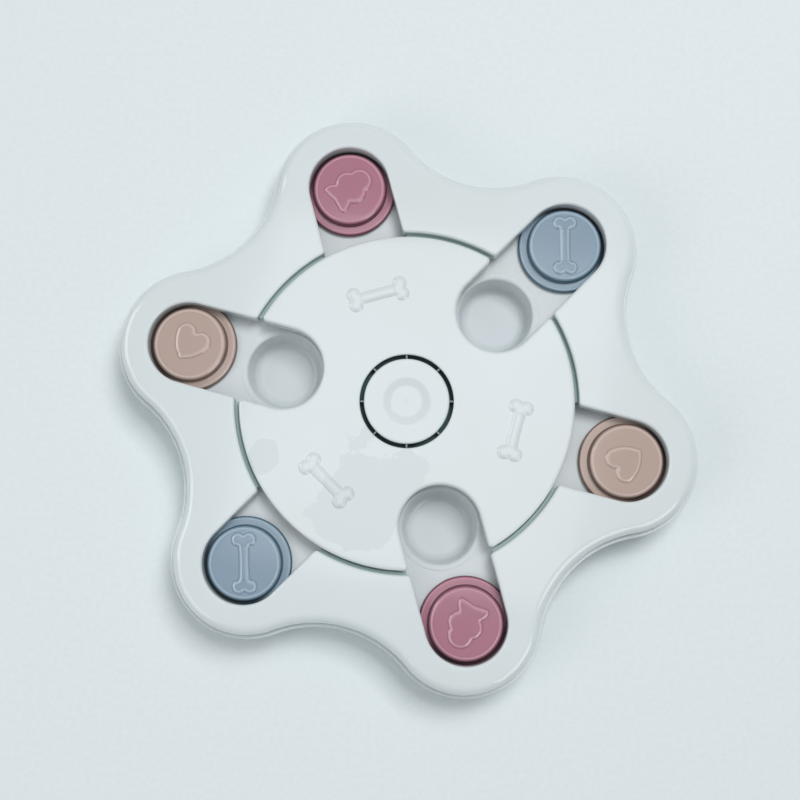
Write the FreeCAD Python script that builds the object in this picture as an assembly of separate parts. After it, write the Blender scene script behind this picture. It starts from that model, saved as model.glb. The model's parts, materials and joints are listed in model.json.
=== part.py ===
import FreeCAD, Part
import math
import os

# Dog puzzle feeder: a six-lobed tray with six food wells, a cover with six slots,
# a turntable with three slots and six sliding knobs. All sizes are in millimetres.
# Frame: +Z up, origin on the floor under the turntable's axis, slots every 60 degrees.

# Star outline of the tray, as lobe arcs joined by valley arcs
LOBE_COUNT = 6
FIRST_LOBE_ANGLE = 45.0
TIP_RADIUS = 145.0
VALLEY_RADIUS = 113.5
LOBE_ARC_RADIUS = 38.0

# Heights above the floor
FOOT_HEIGHT = 2.2
TRAY_BOTTOM = 1.6
DECK_TOP = 21.0
LIP_TOP = 24.2
COVER_TOP = 33.0
KNOB_TOP = 29.0

# Tray walls
TRAY_WALL = 2.6
TRAY_FLOOR = 1.8
DECK_THICKNESS = 2.5
DECK_CLEARANCE = 0.1
LIP_WIDTH = 2.0
LIP_ROUNDING = 0.9
SEAM_GAP = 0.4

# Food wells
WELL_CENTRE_RADIUS = 62.0
WELL_RADIUS = 18.0
WELL_FOOT_RADIUS = 16.6
WELL_FLOOR = 5.0
WELL_LIP_ROUNDING = 1.5
WELL_FLOOR_ROUNDING = 4.0
CUP_WALL = 1.6
CUP_BOTTOM = 3.5
CUP_CHAMFER = 3.2
CUP_COLLAR_RADIUS = 21.0
CUP_COLLAR_THICKNESS = 1.5

# Sliders
KNOB_CENTRE_RADIUS = 109.5
KNOB_RADIUS = 18.25
KNOB_ROUNDING = 3.0
FLANGE_RADIUS = 22.5
FLANGE_THICKNESS = 3.5
FLANGE_ROUNDING = 2.0
SLIDE_CLEARANCE = 0.1
MOTIF_HEIGHT = 0.9
MOTIF_SLOPE = 0.7

# Tracks that guide the sliders on the deck
TRACK_CLEARANCE = 0.5
TRACK_WALL = 1.8
TRACK_TOP = 24.4
TRACK_INNER_END = 60.0

# Cover
COVER_WALL = 2.5
COVER_EDGE_ROUNDING = 5.0
SLOT_HALF_WIDTH = 19.7
SKIRT_WALL = 2.0
SKIRT_BOTTOM = 25.0
SLOT_CORNER_ROUNDING = 2.0
COVER_RIM_ROUNDING = 1.4
OPENING_RADIUS = 83.0

# Turntable
DISC_RADIUS = 81.0
DISC_RIM_ROUNDING = 1.6
DISC_SLOT_COUNT = 3
HUB_POCKET_RADIUS = 22.6
HUB_POCKET_WALL = 2.0
POCKET_ROUNDING = 0.8
HUB_FLOOR_BOTTOM = 25.0
HUB_FLOOR_TOP = 27.0
LEAF_START = 47.0
DISC_RIB_WALL = 1.6
DISC_RIB_BOTTOM = 27.0
DISC_RIB_START = 20.0
DISC_RIB_OFFSETS = [-36.0, -12.0, 12.0, 36.0]
DISC_BONE_RADIUS = 54.0
DISC_BONE_HEIGHT = 1.0

# Pivot in the middle
SHOULDER_RADIUS = 14.0
SHOULDER_TOP = 24.8
SPIGOT_RADIUS = 8.0
SPIGOT_TOP = 27.2
PIVOT_CLEARANCE = 0.1
PIVOT_POST_RADIUS = 7.0
PIVOT_WASHER_RADIUS = 11.0
PIVOT_WASHER_THICKNESS = 1.0
PIVOT_HEAD_RADIUS = 4.0
PIVOT_HEAD_HEIGHT = 1.9
PIVOT_SHANK_RADIUS = 1.6
PIVOT_SHANK_LENGTH = 14.0
SCREW_HOLE_CLEARANCE = 0.05
RECESS_LENGTH = 3.6
RECESS_WIDTH = 0.9
RECESS_DEPTH = 1.2

# Hub cap pressed into the turntable
CAP_RADIUS = 20.6
CAP_WALL = 2.0
CAP_PLATE = 1.5
CAP_ROUNDING = 1.0
DISH_RADIUS = 12.5
DISH_SLOPE_WIDTH = 6.0
DISH_DEPTH = 1.0
CAP_RIB_COUNT = 8
CAP_RIB_WIDTH = 1.0
CAP_RIB_TOP = 31.6
CAP_RIB_CLEARANCE = 0.05

# Screws that hold cover and tray together, one under each valley
SCREW_CENTRE_RADIUS = 97.0
SCREW_COLUMN_RADIUS = 5.6
SCREW_ACCESS_RADIUS = 3.8
SCREW_SEAT = 15.0
SCREW_HOLE_RADIUS = 1.9
SCREW_SHANK_RADIUS = 1.5
SCREW_HEAD_RADIUS = 3.1
SCREW_HEAD_HEIGHT = 2.2
SCREW_TIP = 28.0
COVER_BOSS_RADIUS = 4.2

# Feet under the tray
FOOT_CENTRE_RADIUS = 123.0
FOOT_RADIUS = 6.0
FOOT_EDGE_ROUNDING = 0.7
FOOT_PLUG_RADIUS = 2.9
FOOT_PLUG_TOP = 7.0
FOOT_POST_RADIUS = 7.5
FOOT_SOCKET_CLEARANCE = 0.1
FOOT_POST_TOP = 9.0

# Raised figures: length, head width and shaft width of a bone, width and height of a heart
DISC_BONE_SIZE = (30.0, 12.4, 6.2)
KNOB_BONE_SIZE = (29.4, 12.4, 5.8)
HEART_SIZE = (18.5, 17.5)
KNUCKLE_SHARE = 0.29
HEART_LOBE_SHARE = 0.27
HEART_FLANK_BULGE = 0.07
HEART_TIP_LENGTH = 0.05
HEART_TIP_HALF_WIDTH = 0.09
ANIMAL_HEAD_LENGTH = 24.0

# Half of the animal head: arc ends and arc middles in turn, from the chin to between the ears
ANIMAL_HEAD_HALF = [
    (-12.4, 0.0), (-10.4, 4.7), (-5.6, 6.2),
    (-1.2, 8.7), (4.2, 6.2),
    (6.8, 7.8), (8.9, 8.1),
    (10.3, 7.4), (10.6, 5.8),
    (10.3, 3.0), (9.8, 0.0),
]

# The lobes' places as seen from above, in order round the star
PLACES = ["upper_right", "top", "left", "lower_left", "bottom", "right"]

# Knob colours and motifs in the same order, with the motif's turn in degrees
SLIDERS = [
    ("blue", "bone", 90.0),
    ("pink", "animal_head", 218.0),
    ("tan", "heart", 56.0),
    ("blue", "bone", 92.0),
    ("pink", "animal_head", 64.0),
    ("tan", "heart", 216.0),
]

UP = FreeCAD.Vector(0, 0, 1)
OVERRUN = 1.0
SAME = 0.01


def at(x, y, z=0.0):
    return FreeCAD.Vector(x, y, z)


def polar(radius, degrees, z=0.0):
    angle = math.radians(degrees)
    return at(radius * math.cos(angle), radius * math.sin(angle), z)


def lobe_angle(index):
    return FIRST_LOBE_ANGLE + 360.0 / LOBE_COUNT * index


def valley_angle(index):
    return lobe_angle(index) + 180.0 / LOBE_COUNT


def turned(shape, degrees):
    copy = shape.copy()
    copy.rotate(at(0, 0), UP, degrees)
    return copy


def round_turns(shape):
    """Copies of a shape made for the first lobe's direction, one for each lobe."""
    return [turned(shape, lobe_angle(index)) for index in range(LOBE_COUNT)]


def cylinder(radius, bottom, top, centre=FreeCAD.Vector(0, 0, 0)):
    return Part.makeCylinder(radius, top - bottom, at(centre.x, centre.y, bottom))


def arc(start, middle, end):
    return Part.Arc(start, middle, end).toShape()


def prism(wire, bottom, top):
    """A flat wire at height 0 made a solid between two heights."""
    face = Part.Face(wire)
    face.translate(at(0, 0, bottom))
    return face.extrude(at(0, 0, top - bottom))


def turned_profile(points):
    """A solid turned round Z from straight runs and arcs in the XZ plane.

    A point is (x, z), or (x, z, "via") for the middle of an arc between its neighbours.
    """
    corners = [at(p[0], 0, p[1]) for p in points]
    edges = []
    index = 0
    count = len(points)
    while index < count:
        following = (index + 1) % count
        if len(points[following]) == 3:
            last = (index + 2) % count
            edges.append(arc(corners[index], corners[following], corners[last]))
            index += 2
        else:
            edges.append(Part.makeLine(corners[index], corners[following]))
            index += 1
    return Part.Face(Part.Wire(edges)).revolve(at(0, 0), UP, 360)


def quarter(centre_x, centre_z, radius, degrees):
    """The middle of a quarter round whose middle lies in this direction."""
    angle = math.radians(degrees)
    return (centre_x + radius * math.cos(angle), centre_z + radius * math.sin(angle), "via")


def edges_at_height(shape, height):
    def level(edge):
        box = edge.BoundBox
        return abs(box.ZMin - height) < SAME and abs(box.ZMax - height) < SAME
    return [edge for edge in shape.Edges if level(edge)]


def upright_edges(shape, radius):
    """Upright straight edges at this distance from the axis."""
    def upright(edge):
        box = edge.BoundBox
        flat = box.XLength < SAME and box.YLength < SAME
        return flat and abs(math.hypot(box.XMin, box.YMin) - radius) < SAME
    return [edge for edge in shape.Edges if upright(edge)]


def star_arcs():
    """Centres and radii of the lobe and valley arcs, which touch without a corner."""
    lobe_distance = TIP_RADIUS - LOBE_ARC_RADIUS
    gap = LOBE_ARC_RADIUS - VALLEY_RADIUS
    half_step = math.cos(math.radians(180.0 / LOBE_COUNT))
    valley_distance = (lobe_distance ** 2 - gap ** 2) / (2 * (gap + lobe_distance * half_step))
    return lobe_distance, valley_distance, valley_distance - VALLEY_RADIUS


def star_wire(inset):
    """The star outline moved inwards by a distance."""
    lobe_distance, valley_distance, valley_arc_radius = star_arcs()
    edges = []
    for index in range(LOBE_COUNT):
        lobe = polar(lobe_distance, lobe_angle(index))
        before = polar(valley_distance, valley_angle(index - 1))
        after = polar(valley_distance, valley_angle(index))
        following = polar(lobe_distance, lobe_angle(index + 1))
        reach = LOBE_ARC_RADIUS - inset
        start = lobe + (before - lobe).normalize() * reach
        end = lobe + (after - lobe).normalize() * reach
        edges.append(arc(start, polar(TIP_RADIUS - inset, lobe_angle(index)), end))
        next_start = following + (after - following).normalize() * reach
        valley = polar(valley_distance - valley_arc_radius - inset, valley_angle(index))
        edges.append(arc(end, valley, next_start))
    return Part.Wire(edges)


def star_prism(inset, bottom, top):
    return prism(star_wire(inset), bottom, top)


def bone_wire(length, head, shaft):
    """A bone: two round knuckles at each end, and sides that curve in to the shaft."""
    knuckle = head * KNUCKLE_SHARE
    out = head / 2 - knuckle
    along = length / 2 - knuckle
    drop = shaft / 2 - out
    bend = (along ** 2 + drop ** 2 - knuckle ** 2) / (2 * (knuckle - drop))
    bend_centre = at(0, shaft / 2 + bend)
    centre = at(along, out)
    touch = centre + (bend_centre - centre).normalize() * knuckle
    notch = along + math.sqrt(knuckle ** 2 - out ** 2)
    far = centre + polar(knuckle, 45)
    edges = []
    for sign in (1, -1):
        left = at(-touch.x, sign * touch.y)
        right = at(touch.x, sign * touch.y)
        edges.append(arc(left, at(0, sign * shaft / 2), right))
        edges.append(arc(right, at(far.x, sign * far.y), at(notch, 0)))
        edges.append(arc(left, at(-far.x, sign * far.y), at(-notch, 0)))
    return Part.Wire(Part.sortEdges(edges)[0])


def heart_wire(width, height):
    """A heart along X with its notch towards +X: lobe arcs, flank arcs and a rounded tip."""
    lobe = width * HEART_LOBE_SHARE
    side = width / 2 - lobe
    centre = at(height / 2 - lobe, side)
    tip = at(-height / 2, 0)
    notch = at(centre.x + math.sqrt(lobe ** 2 - side ** 2), 0)
    shoulder = centre + polar(lobe, 110)
    crown = centre + polar(lobe, 40)
    low = tip + at(height * HEART_TIP_LENGTH, width * HEART_TIP_HALF_WIDTH)
    across = (shoulder - low).normalize()
    flank = (shoulder + low) * 0.5 + at(-across.y, across.x) * (height * HEART_FLANK_BULGE)
    edges = [arc(low, tip, at(low.x, -low.y))]
    for sign in (1, -1):
        points = [at(point.x, sign * point.y) for point in (low, flank, shoulder, crown, notch)]
        edges += [arc(points[0], points[1], points[2]), arc(points[2], points[3], points[4])]
    return Part.Wire(Part.sortEdges(edges)[0])


def animal_head_wire(inset):
    """A plain animal head along X: chin, muzzle, cheeks and rounded ears towards +X."""
    shrink = 1 - 2 * inset / ANIMAL_HEAD_LENGTH
    edges = []
    for sign in (1, -1):
        points = [at(x, sign * y) * shrink for x, y in ANIMAL_HEAD_HALF]
        for first in range(0, len(points) - 1, 2):
            edges.append(arc(*points[first:first + 3]))
    return Part.Wire(Part.sortEdges(edges)[0])


def figure_wire(kind, inset):
    """The outline of a raised figure, moved inwards by about this distance."""
    if kind == "disc_bone":
        length, head, shaft = DISC_BONE_SIZE
        return bone_wire(length - 2 * inset, head - 2 * inset, shaft - 2 * inset)
    if kind == "bone":
        length, head, shaft = KNOB_BONE_SIZE
        return bone_wire(length - 2 * inset, head - 2 * inset, shaft - 2 * inset)
    if kind == "heart":
        width, height = HEART_SIZE
        return heart_wire(width - 2 * inset, height - 2 * inset)
    return animal_head_wire(inset)


def raised(kind, bottom, top):
    """A low raised figure whose edge slopes in to a smaller flat top."""
    foot_height = top - MOTIF_SLOPE
    wires = []
    for inset, height in ((0, foot_height), (MOTIF_SLOPE, top)):
        wire = figure_wire(kind, inset)
        wire.translate(at(0, 0, height))
        wires.append(wire)
    slope = Part.makeLoft(wires, True, True)
    return prism(figure_wire(kind, 0), bottom, foot_height).fuse(slope).removeSplitter()


def make_well_hollow():
    top = DECK_TOP + OVERRUN
    lip_radius = WELL_RADIUS + WELL_LIP_ROUNDING
    low = WELL_FLOOR + WELL_FLOOR_ROUNDING
    hollow = turned_profile([
        (0, WELL_FLOOR),
        (WELL_FOOT_RADIUS - WELL_FLOOR_ROUNDING, WELL_FLOOR),
        quarter(WELL_FOOT_RADIUS - WELL_FLOOR_ROUNDING, low, WELL_FLOOR_ROUNDING, -45),
        (WELL_FOOT_RADIUS, low),
        (WELL_RADIUS, DECK_TOP - WELL_LIP_ROUNDING),
        quarter(lip_radius, DECK_TOP - WELL_LIP_ROUNDING, WELL_LIP_ROUNDING, 135),
        (lip_radius, DECK_TOP),
        (lip_radius, top),
        (0, top),
    ])
    hollow.translate(at(WELL_CENTRE_RADIUS, 0))
    return hollow


def make_food_cup():
    """A cup whose collar lies in the deck's recess, level with the deck."""
    outer = WELL_RADIUS + CUP_WALL
    cup = turned_profile([
        (0, CUP_BOTTOM),
        (WELL_FOOT_RADIUS + CUP_WALL - CUP_CHAMFER, CUP_BOTTOM),
        (WELL_FOOT_RADIUS + CUP_WALL, CUP_BOTTOM + CUP_CHAMFER),
        (outer, DECK_TOP - CUP_COLLAR_THICKNESS),
        (CUP_COLLAR_RADIUS, DECK_TOP - CUP_COLLAR_THICKNESS),
        (CUP_COLLAR_RADIUS, DECK_TOP),
        (0, DECK_TOP),
    ])
    cup.translate(at(WELL_CENTRE_RADIUS, 0))
    return cup.cut(make_well_hollow()).removeSplitter()


def make_track():
    """A low wall on both sides of a slider and round its outer end."""
    inner = FLANGE_RADIUS + TRACK_CLEARANCE

    def stadium(radius, bottom, top, start):
        length = KNOB_CENTRE_RADIUS - start
        bar = Part.makeBox(length, 2 * radius, top - bottom, at(start, -radius, bottom))
        return bar.fuse(cylinder(radius, bottom, top, at(KNOB_CENTRE_RADIUS, 0)))

    outside = stadium(inner + TRACK_WALL, DECK_TOP, TRACK_TOP, TRACK_INNER_END)
    inside = stadium(inner, DECK_TOP - OVERRUN, TRACK_TOP + OVERRUN, TRACK_INNER_END - OVERRUN)
    return outside.cut(inside).removeSplitter()


def make_base_tray():
    """The lower shell: a flat floor, a wall with a ledge for the deck, and a lip above it."""
    tray = star_prism(0, TRAY_BOTTOM, LIP_TOP)
    tray = tray.makeFillet(LIP_ROUNDING, edges_at_height(tray, LIP_TOP))
    deck_bottom = DECK_TOP - DECK_THICKNESS
    tray = tray.cut(star_prism(LIP_WIDTH, deck_bottom, LIP_TOP + OVERRUN))
    floor_top = TRAY_BOTTOM + TRAY_FLOOR
    tray = tray.cut(star_prism(TRAY_WALL, floor_top, deck_bottom + OVERRUN))
    floor_middle = TRAY_BOTTOM + TRAY_FLOOR / 2
    foot_centre = at(FOOT_CENTRE_RADIUS, 0)
    additions = round_turns(cylinder(FOOT_POST_RADIUS, floor_middle, FOOT_POST_TOP, foot_centre))
    screw_centres = [polar(SCREW_CENTRE_RADIUS, valley_angle(index)) for index in range(LOBE_COUNT)]
    for centre in screw_centres:
        additions.append(cylinder(SCREW_COLUMN_RADIUS, floor_middle, deck_bottom, centre))
    tray = tray.multiFuse(additions)
    socket_radius = FOOT_PLUG_RADIUS + FOOT_SOCKET_CLEARANCE
    socket_top = FOOT_PLUG_TOP + FOOT_SOCKET_CLEARANCE
    recess_radius = FOOT_RADIUS + FOOT_SOCKET_CLEARANCE
    below = TRAY_BOTTOM - OVERRUN
    hollows = round_turns(cylinder(socket_radius, below, socket_top, foot_centre))
    hollows += round_turns(cylinder(recess_radius, below, FOOT_HEIGHT, foot_centre))
    for centre in screw_centres:
        hollows.append(cylinder(SCREW_ACCESS_RADIUS, below, SCREW_SEAT, centre))
        hollows.append(cylinder(SCREW_HOLE_RADIUS, SCREW_SEAT - OVERRUN, deck_bottom + OVERRUN, centre))
    for hollow in hollows:
        tray = tray.cut(hollow)
    return tray.removeSplitter()


def make_deck():
    """The plate under the channels, with holes for the cups and the pivot in the middle."""
    bottom = DECK_TOP - DECK_THICKNESS
    middle = DECK_TOP - DECK_THICKNESS / 2
    deck = star_prism(LIP_WIDTH + DECK_CLEARANCE, bottom, DECK_TOP)
    post_bottom = TRAY_BOTTOM + TRAY_FLOOR + DECK_CLEARANCE
    additions = [cylinder(PIVOT_POST_RADIUS, post_bottom, middle)]
    additions.append(cylinder(SHOULDER_RADIUS, middle, SHOULDER_TOP))
    additions.append(cylinder(SPIGOT_RADIUS, middle, SPIGOT_TOP))
    deck = deck.multiFuse(additions)
    cup_centre = at(WELL_CENTRE_RADIUS, 0)
    hole_radius = WELL_RADIUS + CUP_WALL + DECK_CLEARANCE
    recess_bottom = DECK_TOP - CUP_COLLAR_THICKNESS
    recess_radius = CUP_COLLAR_RADIUS + DECK_CLEARANCE
    hollows = round_turns(cylinder(hole_radius, bottom - OVERRUN, DECK_TOP + OVERRUN, cup_centre))
    hollows += round_turns(cylinder(recess_radius, recess_bottom, DECK_TOP + OVERRUN, cup_centre))
    pivot_hole = PIVOT_SHANK_RADIUS + SCREW_HOLE_CLEARANCE
    hole_bottom = SPIGOT_TOP - PIVOT_SHANK_LENGTH - OVERRUN
    hollows.append(cylinder(pivot_hole, hole_bottom, SPIGOT_TOP + OVERRUN))
    for index in range(LOBE_COUNT):
        centre = polar(SCREW_CENTRE_RADIUS, valley_angle(index))
        hollows.append(cylinder(SCREW_HOLE_RADIUS, bottom - OVERRUN, DECK_TOP + OVERRUN, centre))
    for hollow in hollows:
        deck = deck.cut(hollow)
    return deck.removeSplitter()


def cover_opening(extra, bottom, top):
    """The round opening with its six slots, grown by a distance."""
    tool = cylinder(OPENING_RADIUS + extra, bottom, top)
    half_width = SLOT_HALF_WIDTH + extra
    bar = Part.makeBox(
        KNOB_CENTRE_RADIUS - WELL_CENTRE_RADIUS, 2 * half_width, top - bottom,
        at(WELL_CENTRE_RADIUS, -half_width, bottom)
    )
    slot = bar.fuse(cylinder(half_width, bottom, top, at(KNOB_CENTRE_RADIUS, 0)))
    tool = tool.multiFuse(round_turns(slot)).removeSplitter()
    if extra < SLOT_CORNER_ROUNDING:
        corners = upright_edges(tool, OPENING_RADIUS + extra)
        tool = tool.makeFillet(SLOT_CORNER_ROUNDING - extra, corners)
    return tool


def make_top_cover():
    outset = LIP_WIDTH + SEAM_GAP
    cover = star_prism(outset, DECK_TOP, COVER_TOP)
    cover = cover.makeFillet(COVER_EDGE_ROUNDING, edges_at_height(cover, COVER_TOP))
    plate_bottom = COVER_TOP - COVER_WALL
    hollow = star_prism(outset + COVER_WALL, DECK_TOP - OVERRUN, plate_bottom)
    hollow = hollow.makeFillet(
        COVER_EDGE_ROUNDING - COVER_WALL, edges_at_height(hollow, plate_bottom)
    )
    skirt = cover_opening(SKIRT_WALL, SKIRT_BOTTOM, COVER_TOP - COVER_WALL / 2)
    cover = cover.cut(hollow).fuse(skirt)
    for index in range(LOBE_COUNT):
        centre = polar(SCREW_CENTRE_RADIUS, valley_angle(index))
        boss = cylinder(COVER_BOSS_RADIUS, DECK_TOP, COVER_TOP - COVER_WALL / 2, centre)
        hole_radius = SCREW_SHANK_RADIUS + SCREW_HOLE_CLEARANCE
        hole = cylinder(hole_radius, DECK_TOP - OVERRUN, SCREW_TIP + OVERRUN, centre)
        cover = cover.fuse(boss).cut(hole)
    cover = cover.cut(cover_opening(0, SKIRT_BOTTOM - OVERRUN, COVER_TOP + OVERRUN))
    cover = cover.removeSplitter()
    outline = star_wire(outset + COVER_EDGE_ROUNDING)
    outline.translate(at(0, 0, COVER_TOP))
    top_edges = edges_at_height(cover, COVER_TOP)
    opening_edges = [edge for edge in top_edges if edge.distToShape(outline)[0] > COVER_RIM_ROUNDING]
    return cover.makeFillet(COVER_RIM_ROUNDING, opening_edges)


def disc_outline(inset, bottom, top):
    """The round disc with three slots open at its rim, moved inwards by a distance."""
    disc = cylinder(DISC_RADIUS - inset, bottom, top)
    half_width = SLOT_HALF_WIDTH + inset
    bar = Part.makeBox(
        DISC_RADIUS, 2 * half_width, top - bottom, at(WELL_CENTRE_RADIUS, -half_width, bottom)
    )
    slot = bar.fuse(cylinder(half_width, bottom, top, at(WELL_CENTRE_RADIUS, 0)))
    for index in range(0, LOBE_COUNT, LOBE_COUNT // DISC_SLOT_COUNT):
        disc = disc.cut(turned(slot, lobe_angle(index)))
    disc = disc.removeSplitter()
    if inset < SLOT_CORNER_ROUNDING:
        corners = upright_edges(disc, DISC_RADIUS - inset)
        disc = disc.makeFillet(SLOT_CORNER_ROUNDING - inset, corners)
    return disc


def leaf_angles():
    """Directions of the three leaves, each between two slots of the turntable."""
    return [lobe_angle(index) for index in range(1, LOBE_COUNT, LOBE_COUNT // DISC_SLOT_COUNT)]


def make_turntable():
    disc = disc_outline(0, SKIRT_BOTTOM, COVER_TOP)
    disc = disc.makeFillet(DISC_RIM_ROUNDING, edges_at_height(disc, COVER_TOP))
    plate_bottom = COVER_TOP - COVER_WALL
    disc = disc.cut(disc_outline(SKIRT_WALL, SKIRT_BOTTOM - OVERRUN, plate_bottom))
    hub_radius = HUB_POCKET_RADIUS + HUB_POCKET_WALL
    additions = [cylinder(hub_radius, HUB_FLOOR_BOTTOM, plate_bottom + OVERRUN)]
    bone = raised("disc_bone", plate_bottom + OVERRUN, COVER_TOP + DISC_BONE_HEIGHT)
    bone.rotate(at(0, 0), UP, 90)
    bone.translate(at(DISC_BONE_RADIUS, 0))
    rib_height = plate_bottom + OVERRUN - DISC_RIB_BOTTOM
    ribs = [
        Part.makeBox(
            DISC_RADIUS, DISC_RIB_WALL, rib_height,
            at(DISC_RIB_START, offset - DISC_RIB_WALL / 2, DISC_RIB_BOTTOM)
        )
        for offset in DISC_RIB_OFFSETS
    ]
    rib_limit = disc_outline(SKIRT_WALL / 2, DISC_RIB_BOTTOM, plate_bottom + OVERRUN)
    for angle in leaf_angles():
        additions.append(turned(bone, angle))
        additions += [turned(rib, angle).common(rib_limit) for rib in ribs]
    disc = disc.multiFuse(additions)
    pocket = cylinder(HUB_POCKET_RADIUS, HUB_FLOOR_TOP, COVER_TOP + OVERRUN)
    bore_radius = SPIGOT_RADIUS + PIVOT_CLEARANCE
    bore = cylinder(bore_radius, HUB_FLOOR_BOTTOM - OVERRUN, HUB_FLOOR_TOP + OVERRUN)
    disc = disc.cut(pocket).cut(bore).removeSplitter()

    def pocket_rim(edge):
        box = edge.BoundBox
        return abs(box.XLength / 2 - HUB_POCKET_RADIUS) < SAME
    rim = [edge for edge in edges_at_height(disc, COVER_TOP) if pocket_rim(edge)]
    return disc.makeFillet(POCKET_ROUNDING, rim)


def split_turntable(turntable):
    """The middle of the turntable and its three leaves, each cut off along a straight line."""
    height = COVER_TOP + 2 * DISC_BONE_HEIGHT
    leaf_side = Part.makeBox(
        DISC_RADIUS, 2 * DISC_RADIUS, height, at(LEAF_START, -DISC_RADIUS, 0)
    )
    tools = [turned(leaf_side, angle) for angle in leaf_angles()]
    leaves = [turntable.common(tool) for tool in tools]
    middle = turntable
    for tool in tools:
        middle = middle.cut(tool)
    return middle, leaves


def make_hub_cap():
    inner = CAP_RADIUS - CAP_WALL
    dish_height = COVER_TOP - DISH_DEPTH
    cap = turned_profile([
        (0, dish_height - CAP_PLATE),
        (inner, dish_height - CAP_PLATE),
        (inner, HUB_FLOOR_TOP),
        (CAP_RADIUS, HUB_FLOOR_TOP),
        (CAP_RADIUS, COVER_TOP - CAP_ROUNDING),
        quarter(CAP_RADIUS - CAP_ROUNDING, COVER_TOP - CAP_ROUNDING, CAP_ROUNDING, 45),
        (CAP_RADIUS - CAP_ROUNDING, COVER_TOP),
        (DISH_RADIUS, COVER_TOP),
        (DISH_RADIUS - DISH_SLOPE_WIDTH, dish_height),
        (0, dish_height),
    ])
    reach = HUB_POCKET_RADIUS - CAP_RIB_CLEARANCE
    limit = cylinder(reach, HUB_FLOOR_TOP, CAP_RIB_TOP)
    for index in range(CAP_RIB_COUNT):
        rib = Part.makeBox(
            reach - inner, CAP_RIB_WIDTH, CAP_RIB_TOP - HUB_FLOOR_TOP,
            at(CAP_RADIUS - CAP_WALL / 2, -CAP_RIB_WIDTH / 2, HUB_FLOOR_TOP)
        )
        rib = turned(rib.common(limit), 360.0 / CAP_RIB_COUNT * index)
        cap = cap.fuse(rib)
    return cap.removeSplitter()


def make_pivot_washer():
    hole = PIVOT_SHANK_RADIUS + PIVOT_CLEARANCE
    top = SPIGOT_TOP + PIVOT_WASHER_THICKNESS
    blank = cylinder(PIVOT_WASHER_RADIUS, SPIGOT_TOP, top)
    return blank.cut(cylinder(hole, SPIGOT_TOP - OVERRUN, top + OVERRUN))


def cross_recess(bottom):
    """A cross-shaped driver recess that starts at this height."""
    corner = at(-RECESS_LENGTH / 2, -RECESS_WIDTH / 2, bottom)
    bar = Part.makeBox(RECESS_LENGTH, RECESS_WIDTH, RECESS_DEPTH, corner)
    return bar.fuse(turned(bar, 90))


def make_pivot_screw():
    seat = SPIGOT_TOP + PIVOT_WASHER_THICKNESS
    top = seat + PIVOT_HEAD_HEIGHT
    head = cylinder(PIVOT_HEAD_RADIUS, seat, top)
    head = head.makeFillet(PIVOT_HEAD_HEIGHT / 2, edges_at_height(head, top))
    shank = cylinder(PIVOT_SHANK_RADIUS, seat - PIVOT_SHANK_LENGTH, seat)
    shank = shank.makeChamfer(SCREW_SHANK_RADIUS / 2, edges_at_height(shank, seat - PIVOT_SHANK_LENGTH))
    return head.fuse(shank).cut(cross_recess(top - RECESS_DEPTH)).removeSplitter()


def make_shell_screw():
    bottom = SCREW_SEAT - SCREW_HEAD_HEIGHT
    head = cylinder(SCREW_HEAD_RADIUS, bottom, SCREW_SEAT)
    head = head.makeFillet(SCREW_HEAD_HEIGHT / 2, edges_at_height(head, bottom))
    shank = cylinder(SCREW_SHANK_RADIUS, SCREW_SEAT, SCREW_TIP)
    shank = shank.makeChamfer(SCREW_SHANK_RADIUS / 2, edges_at_height(shank, SCREW_TIP))
    return head.fuse(shank).cut(cross_recess(bottom)).removeSplitter()


def make_slider():
    """The round base that runs on the deck."""
    bottom = DECK_TOP + SLIDE_CLEARANCE
    top = bottom + FLANGE_THICKNESS
    edge = FLANGE_RADIUS - FLANGE_ROUNDING
    slider = turned_profile([
        (0, bottom),
        (FLANGE_RADIUS, bottom),
        (FLANGE_RADIUS, top - FLANGE_ROUNDING),
        quarter(edge, top - FLANGE_ROUNDING, FLANGE_ROUNDING, 45),
        (edge, top),
        (0, top),
    ])
    slider.translate(at(KNOB_CENTRE_RADIUS, 0))
    return slider


def make_knob(kind, motif_angle):
    """The round button on a slider, with its raised figure."""
    bottom = DECK_TOP + SLIDE_CLEARANCE + FLANGE_THICKNESS
    edge = KNOB_RADIUS - KNOB_ROUNDING
    knob = turned_profile([
        (0, bottom),
        (KNOB_RADIUS, bottom),
        (KNOB_RADIUS, KNOB_TOP - KNOB_ROUNDING),
        quarter(edge, KNOB_TOP - KNOB_ROUNDING, KNOB_ROUNDING, 45),
        (edge, KNOB_TOP),
        (0, KNOB_TOP),
    ])
    motif = raised(kind, KNOB_TOP - MOTIF_HEIGHT, KNOB_TOP + MOTIF_HEIGHT)
    return knob.fuse(turned(motif, motif_angle)).removeSplitter()


def make_foot():
    edge = FOOT_RADIUS - FOOT_EDGE_ROUNDING
    foot = turned_profile([
        (0, 0),
        (edge, 0),
        quarter(edge, FOOT_EDGE_ROUNDING, FOOT_EDGE_ROUNDING, -45),
        (FOOT_RADIUS, FOOT_EDGE_ROUNDING),
        (FOOT_RADIUS, FOOT_HEIGHT),
        (FOOT_PLUG_RADIUS, FOOT_HEIGHT),
        (FOOT_PLUG_RADIUS, FOOT_PLUG_TOP),
        (0, FOOT_PLUG_TOP),
    ])
    foot.translate(at(FOOT_CENTRE_RADIUS, 0))
    return foot


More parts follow.
